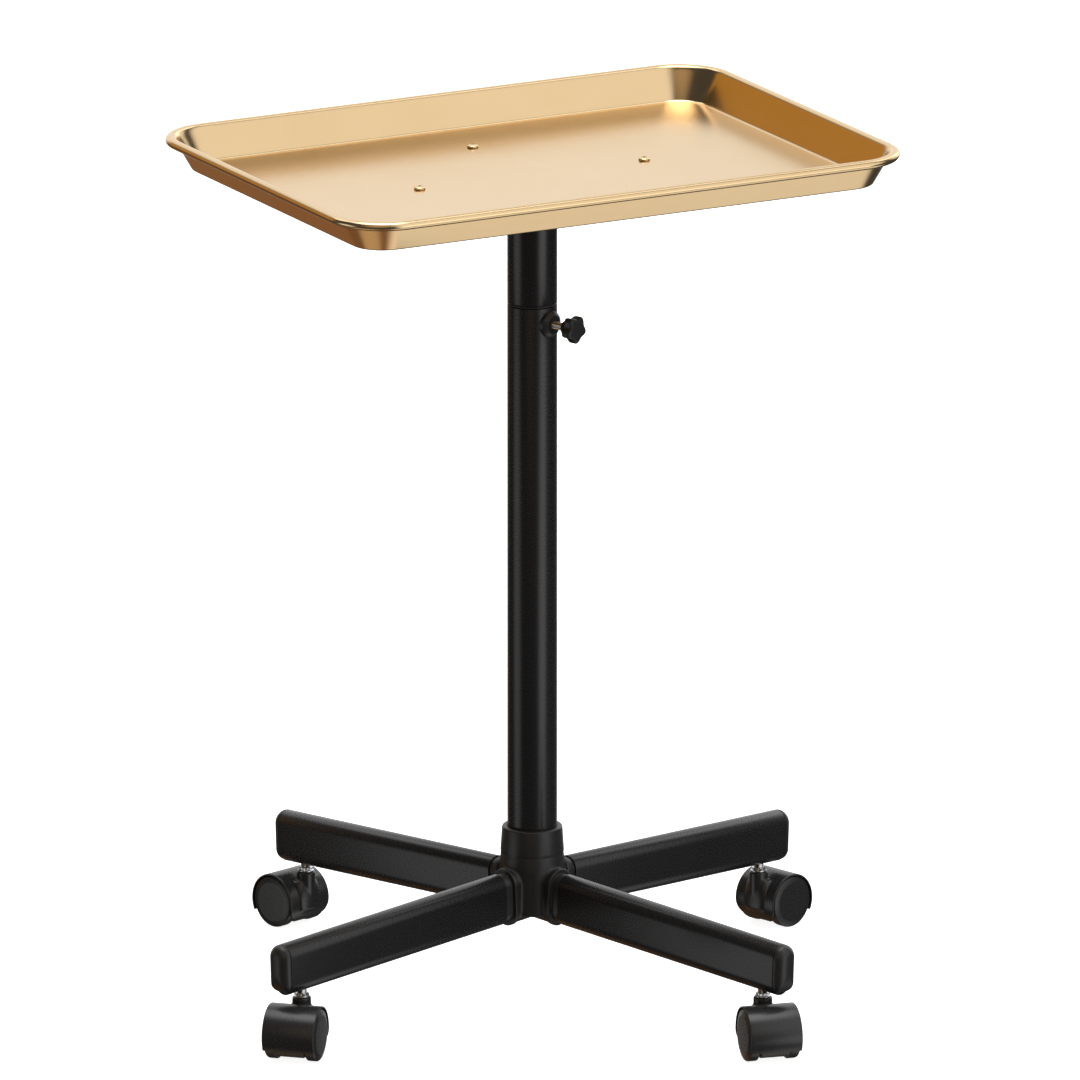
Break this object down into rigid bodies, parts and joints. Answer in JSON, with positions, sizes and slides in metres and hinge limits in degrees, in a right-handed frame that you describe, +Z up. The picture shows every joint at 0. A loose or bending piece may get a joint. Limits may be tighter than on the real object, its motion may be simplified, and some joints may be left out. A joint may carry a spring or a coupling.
{
  "type": "instrument cart",
  "caption": "Height-adjustable instrument cart: a rolled-rim tray on a telescoping column with a clamp knob, over a legged base with hooded twin-wheel castors.",
  "frame": {"origin": "on the column's axis at floor level", "axes": "+Z up along the column, +X along the tray's long side"},
  "size_m": [0.5545, 0.5556, 0.665],
  "materials": {
    "satin_gold": "satin gold anodised aluminium",
    "black_powder_coat": "satin black powder coat on steel",
    "moulded_black": "semi-gloss black moulded plastic",
    "castor_black": "fine-textured black moulded nylon",
    "zinc_steel": "zinc-plated steel",
    "bright_steel": "bright chromed steel"
  },
  "bodies": {
    "root": {"base_hub": "moulded_black", "column_tube": "black_powder_coat", "column_bush": "moulded_black", "column_plug": "zinc_steel", "hub_bolt": "zinc_steel", "clamp_boss": "moulded_black", "leg_tube_1": "black_powder_coat", "leg_tube_2": "black_powder_coat", "leg_tube_3": "black_powder_coat", "leg_tube_4": "black_powder_coat", "leg_screw_1": "zinc_steel", "leg_screw_2": "zinc_steel", "leg_screw_3": "zinc_steel", "leg_screw_4": "zinc_steel", "leg_end_cap_1": "moulded_black", "leg_end_cap_2": "moulded_black", "leg_end_cap_3": "moulded_black", "leg_end_cap_4": "moulded_black", "castor_insert_1": "zinc_steel", "castor_insert_2": "zinc_steel", "castor_insert_3": "zinc_steel", "castor_insert_4": "zinc_steel", "castor_stem_1": "bright_steel", "castor_stem_2": "bright_steel", "castor_stem_3": "bright_steel", "castor_stem_4": "bright_steel"},
    "mast_carrier": {"mast_glide": "moulded_black"},
    "mast": {"mast_tube": "black_powder_coat", "mast_sleeve": "black_powder_coat", "tray_plate": "black_powder_coat", "tray": "satin_gold", "tray_screw_1": "satin_gold", "tray_screw_2": "satin_gold", "tray_screw_3": "satin_gold", "tray_screw_4": "satin_gold", "tray_nut_1": "zinc_steel", "tray_nut_2": "zinc_steel", "tray_nut_3": "zinc_steel", "tray_nut_4": "zinc_steel"},
    "clamp_pad": {"clamp_pad": "moulded_black"},
    "clamp_knob": {"knob_head": "moulded_black", "knob_screw": "bright_steel"},
    "castor_1": {"castor_housing_1": "castor_black", "castor_axle_1": "zinc_steel"},
    "castor_1_left_wheel": {"castor_wheel_left_1": "castor_black"},
    "castor_1_right_wheel": {"castor_wheel_right_1": "castor_black"},
    "castor_2": {"castor_housing_2": "castor_black", "castor_axle_2": "zinc_steel"},
    "castor_2_left_wheel": {"castor_wheel_left_2": "castor_black"},
    "castor_2_right_wheel": {"castor_wheel_right_2": "castor_black"},
    "castor_3": {"castor_housing_3": "castor_black", "castor_axle_3": "zinc_steel"},
    "castor_3_left_wheel": {"castor_wheel_left_3": "castor_black"},
    "castor_3_right_wheel": {"castor_wheel_right_3": "castor_black"},
    "castor_4": {"castor_housing_4": "castor_black", "castor_axle_4": "zinc_steel"},
    "castor_4_left_wheel": {"castor_wheel_left_4": "castor_black"},
    "castor_4_right_wheel": {"castor_wheel_right_4": "castor_black"}
  },
  "joints": [
    {"name": "mast_slide", "type": "slide", "parent": "root", "child": "mast_carrier", "axis": [0, 0, 1], "range_m": [0, 0.31]},
    {"name": "tray_swivel", "type": "hinge", "parent": "mast_carrier", "child": "mast", "pos_m": [0, 0, 0.55], "axis": [0, 0, 1], "continuous": true},
    {"name": "knob_advance", "type": "slide", "parent": "root", "child": "clamp_pad", "axis": [0.342, -0.9397, 0], "range_m": [0, 0.002]},
    {"name": "knob_turn", "type": "hinge", "parent": "clamp_pad", "child": "clamp_knob", "pos_m": [0.01026, -0.02819, 0.5262], "axis": [0.342, -0.9397, 0], "range_deg": [0, 720]},
    {"name": "castor_swivel_1", "type": "hinge", "parent": "root", "child": "castor_1", "pos_m": [0.23525, 0.07192, 0.036], "axis": [0, 0, 1], "continuous": true},
    {"name": "castor_left_wheel_spin_1", "type": "hinge", "parent": "castor_1", "child": "castor_1_left_wheel", "pos_m": [0.25151, 0.07689, 0.02], "axis": [-0.2924, 0.9563, 0], "continuous": true},
    {"name": "castor_right_wheel_spin_1", "type": "hinge", "parent": "castor_1", "child": "castor_1_right_wheel", "pos_m": [0.25151, 0.07689, 0.02], "axis": [-0.2924, 0.9563, 0], "continuous": true},
    {"name": "castor_swivel_2", "type": "hinge", "parent": "root", "child": "castor_2", "pos_m": [-0.07192, 0.23525, 0.036], "axis": [0, 0, 1], "continuous": true},
    {"name": "castor_left_wheel_spin_2", "type": "hinge", "parent": "castor_2", "child": "castor_2_left_wheel", "pos_m": [-0.07689, 0.25151, 0.02], "axis": [-0.9563, -0.2924, 0], "continuous": true},
    {"name": "castor_right_wheel_spin_2", "type": "hinge", "parent": "castor_2", "child": "castor_2_right_wheel", "pos_m": [-0.07689, 0.25151, 0.02], "axis": [-0.9563, -0.2924, 0], "continuous": true},
    {"name": "castor_swivel_3", "type": "hinge", "parent": "root", "child": "castor_3", "pos_m": [-0.23525, -0.07192, 0.036], "axis": [0, 0, 1], "continuous": true},
    {"name": "castor_left_wheel_spin_3", "type": "hinge", "parent": "castor_3", "child": "castor_3_left_wheel", "pos_m": [-0.24706, -0.08415, 0.02], "axis": [0.7193, -0.6947, 0], "continuous": true},
    {"name": "castor_right_wheel_spin_3", "type": "hinge", "parent": "castor_3", "child": "castor_3_right_wheel", "pos_m": [-0.24706, -0.08415, 0.02], "axis": [0.7193, -0.6947, 0], "continuous": true},
    {"name": "castor_swivel_4", "type": "hinge", "parent": "root", "child": "castor_4", "pos_m": [0.07192, -0.23525, 0.036], "axis": [0, 0, 1], "continuous": true},
    {"name": "castor_left_wheel_spin_4", "type": "hinge", "parent": "castor_4", "child": "castor_4_left_wheel", "pos_m": [0.06839, -0.25188, 0.02], "axis": [0.9781, -0.2079, 0], "continuous": true},
    {"name": "castor_right_wheel_spin_4", "type": "hinge", "parent": "castor_4", "child": "castor_4_right_wheel", "pos_m": [0.06839, -0.25188, 0.02], "axis": [0.9781, -0.2079, 0], "continuous": true}
  ],
  "couplings": [
    {"joint": "knob_advance", "follows": "knob_turn", "m_per_rad": 0.00015915}
  ]
}
